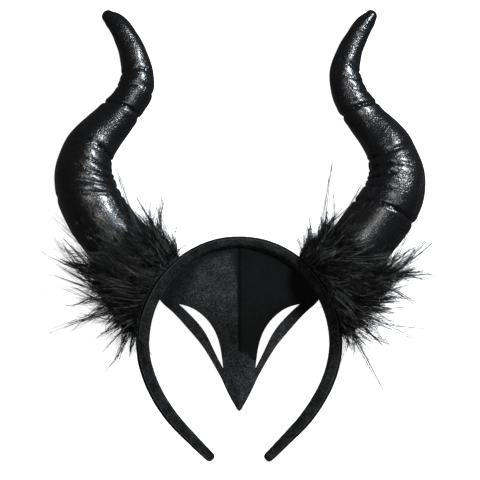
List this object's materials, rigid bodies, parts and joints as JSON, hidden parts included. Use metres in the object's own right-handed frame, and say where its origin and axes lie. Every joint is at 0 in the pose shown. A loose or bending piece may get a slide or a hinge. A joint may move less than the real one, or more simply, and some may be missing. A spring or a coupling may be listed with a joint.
{
  "type": "devil horns headband",
  "caption": "Costume headband with stuffed curved horns, fur ruffs at their feet and a felt forehead peak with slots.",
  "frame": {"origin": "on the surface that it lies on, below the centre of its bounding box", "axes": "+X across the headband, +Y up the headband from the ends of its legs to the tips of the horns, +Z out of its front, which is up as it lies on its back"},
  "size_m": [0.2536, 0.306, 0.0684],
  "materials": {
    "band_fabric": "matt black velvety cover",
    "peak_felt": "matt black felt with a grey bloom",
    "horn_leather": "glossy black faux leather with a fine grain",
    "ruff_fur": "long pile black faux fur"
  },
  "bodies": {
    "root": {"headband": "band_fabric", "forehead_peak": "peak_felt", "horn_left": "horn_leather", "horn_right": "horn_leather", "fur_ruff_left": "ruff_fur", "fur_ruff_right": "ruff_fur"}
  },
  "joints": []
}
